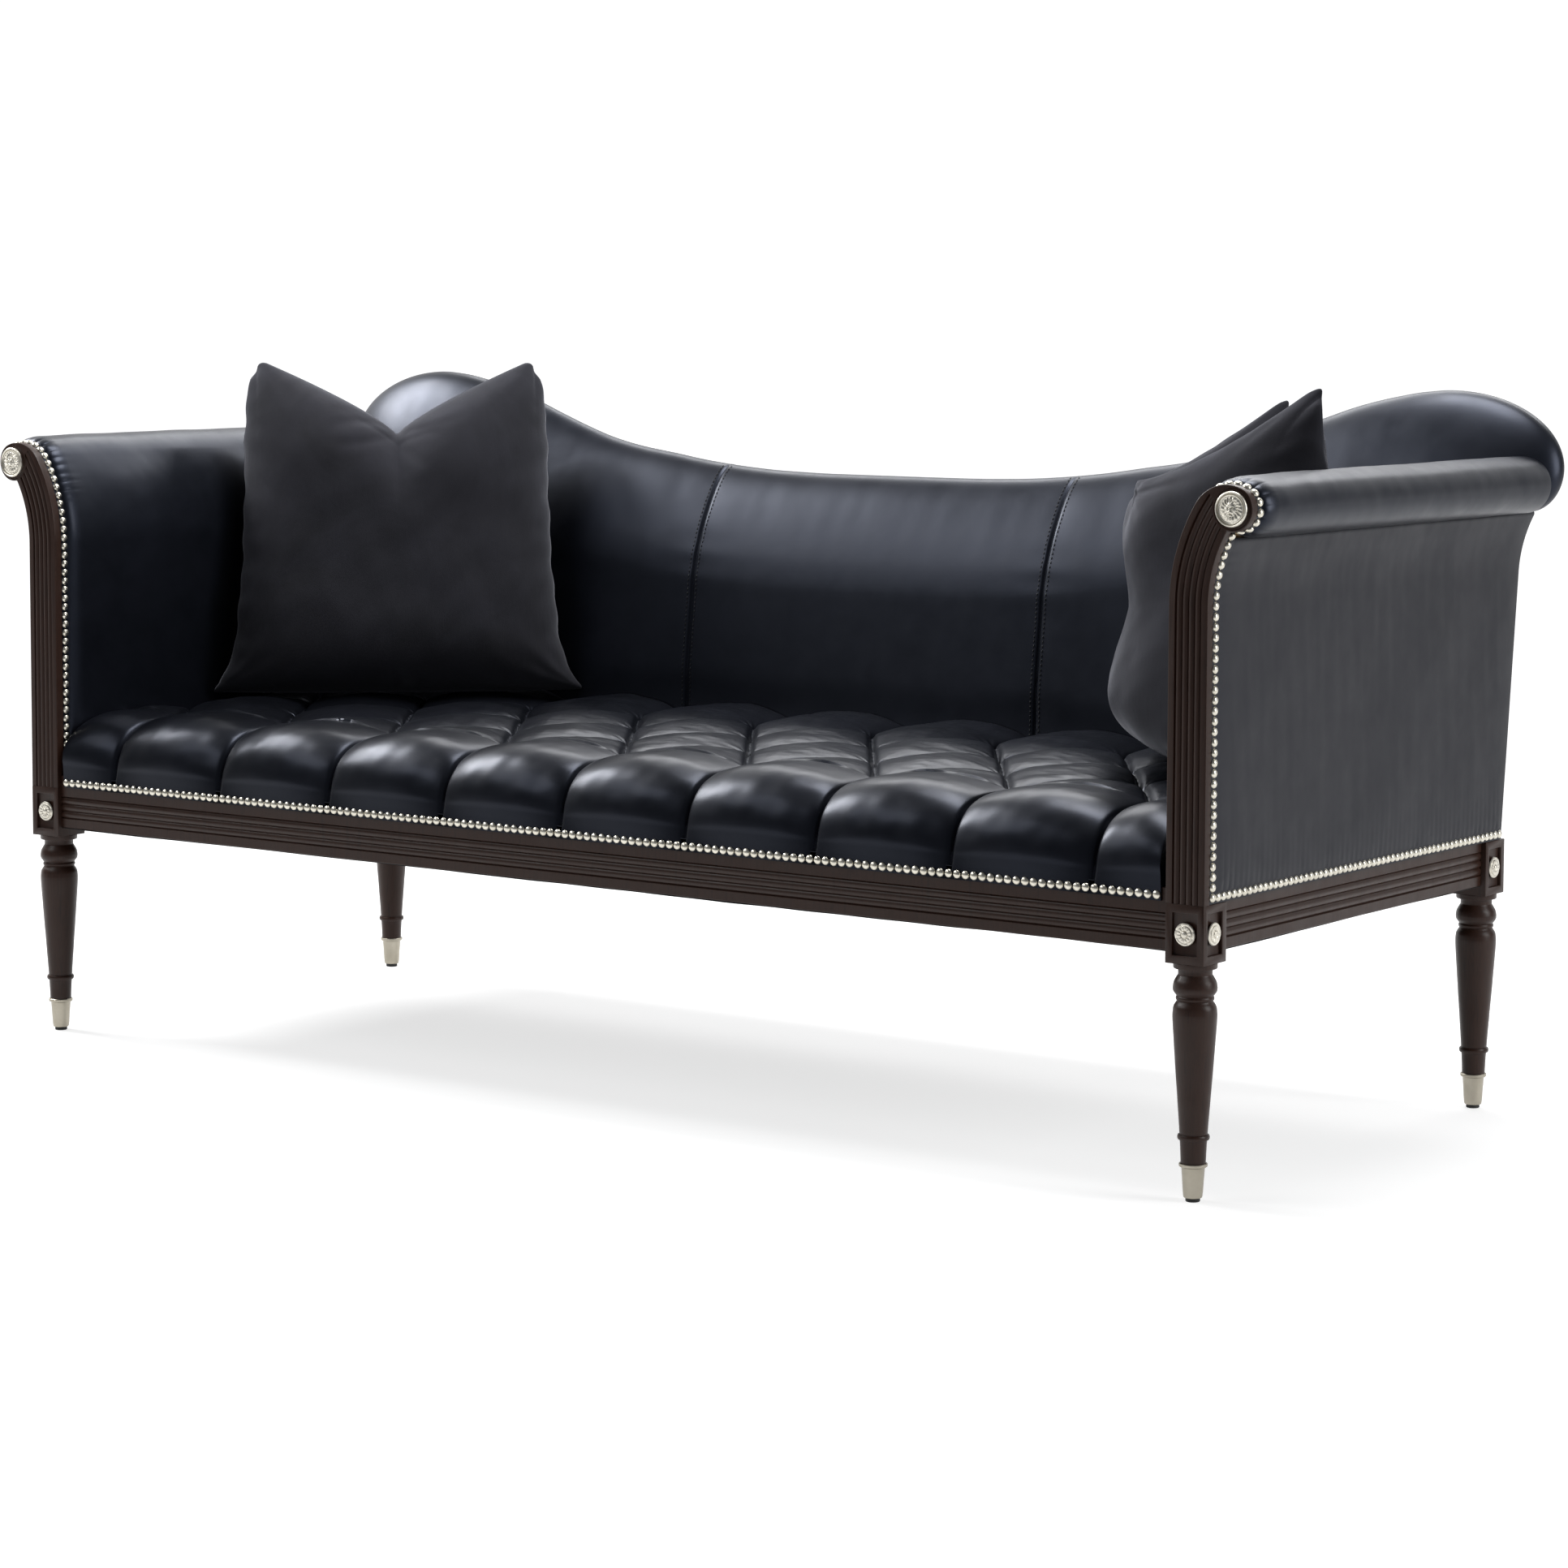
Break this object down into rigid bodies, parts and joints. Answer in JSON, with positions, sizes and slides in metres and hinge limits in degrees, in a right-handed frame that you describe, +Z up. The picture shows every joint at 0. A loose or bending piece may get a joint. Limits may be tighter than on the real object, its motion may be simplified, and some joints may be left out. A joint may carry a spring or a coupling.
{
  "type": "settee",
  "caption": "Upholstered settee in black leather with scrolled reeded arm posts, diamond-tufted seat, dipped rolled back, nailhead trim, turned legs and loose pillows",
  "frame": {"origin": "centre of the bounding box's underside, on the floor", "axes": "+X along the seat, to the right seen from the front; +Y from the front to the back; +Z up"},
  "size_m": [2.144, 0.8458, 0.9856],
  "materials": {
    "show_wood": "dark espresso stain under satin lacquer",
    "frame_wood": "bare sawn hardwood",
    "nickel": "antiqued nickel, satin",
    "nail_nickel": "polished pale nickel",
    "glide_black": "matte",
    "leather": "glossy black leather, fine grain",
    "outside_leather": "satin dark grey leather",
    "jute": "woven jute",
    "foam": "open-cell foam",
    "dust_cloth": "thin non-woven cloth",
    "velvet": "charcoal velvet"
  },
  "bodies": {
    "settee": {"leg_front_left": "show_wood", "leg_front_right": "show_wood", "leg_rear_left": "show_wood", "leg_rear_right": "show_wood", "ferrule_front_left": "nickel", "ferrule_front_right": "nickel", "ferrule_rear_left": "nickel", "ferrule_rear_right": "nickel", "glide_front_left": "glide_black", "glide_front_right": "glide_black", "glide_rear_left": "glide_black", "glide_rear_right": "glide_black", "front_rail": "show_wood", "rear_rail": "show_wood", "side_rail_left": "show_wood", "side_rail_right": "show_wood", "ledger_rear": "frame_wood", "ledger_left": "frame_wood", "ledger_right": "frame_wood", "brace_front_left": "frame_wood", "brace_front_right": "frame_wood", "brace_rear_left": "frame_wood", "brace_rear_right": "frame_wood", "stretcher_left": "frame_wood", "stretcher_right": "frame_wood", "seat_webbing": "jute", "seat_burlap": "jute", "seat_foam": "foam", "seat_cover": "leather", "dust_cover": "dust_cloth", "post_left": "show_wood", "post_right": "show_wood", "post_dowel_left": "frame_wood", "post_dowel_right": "frame_wood", "scroll_rosette_left": "nickel", "scroll_rosette_right": "nickel", "block_rosettes": "nickel", "arm_frame_left": "frame_wood", "arm_frame_right": "frame_wood", "arm_pad_left": "leather", "arm_pad_right": "leather", "arm_panel_left": "outside_leather", "arm_panel_right": "outside_leather", "back_frame": "frame_wood", "back_pad": "leather", "back_panel": "outside_leather", "rear_edge_strip": "outside_leather", "nails_front": "nail_nickel", "nails_side_left": "nail_nickel", "nails_side_right": "nail_nickel", "nails_post_left": "nail_nickel", "nails_post_right": "nail_nickel"},
    "pillow_left": {"pillow_left": "velvet"},
    "pillow_right": {"pillow_right": "velvet"}
  },
  "joints": [
    {"name": "pillow_left_lift", "type": "slide", "parent": "settee", "child": "pillow_left", "axis": [0, 0, 1], "range_m": [0, 0.35]},
    {"name": "pillow_right_lift", "type": "slide", "parent": "settee", "child": "pillow_right", "axis": [0, 0, 1], "range_m": [0, 0.35]}
  ]
}
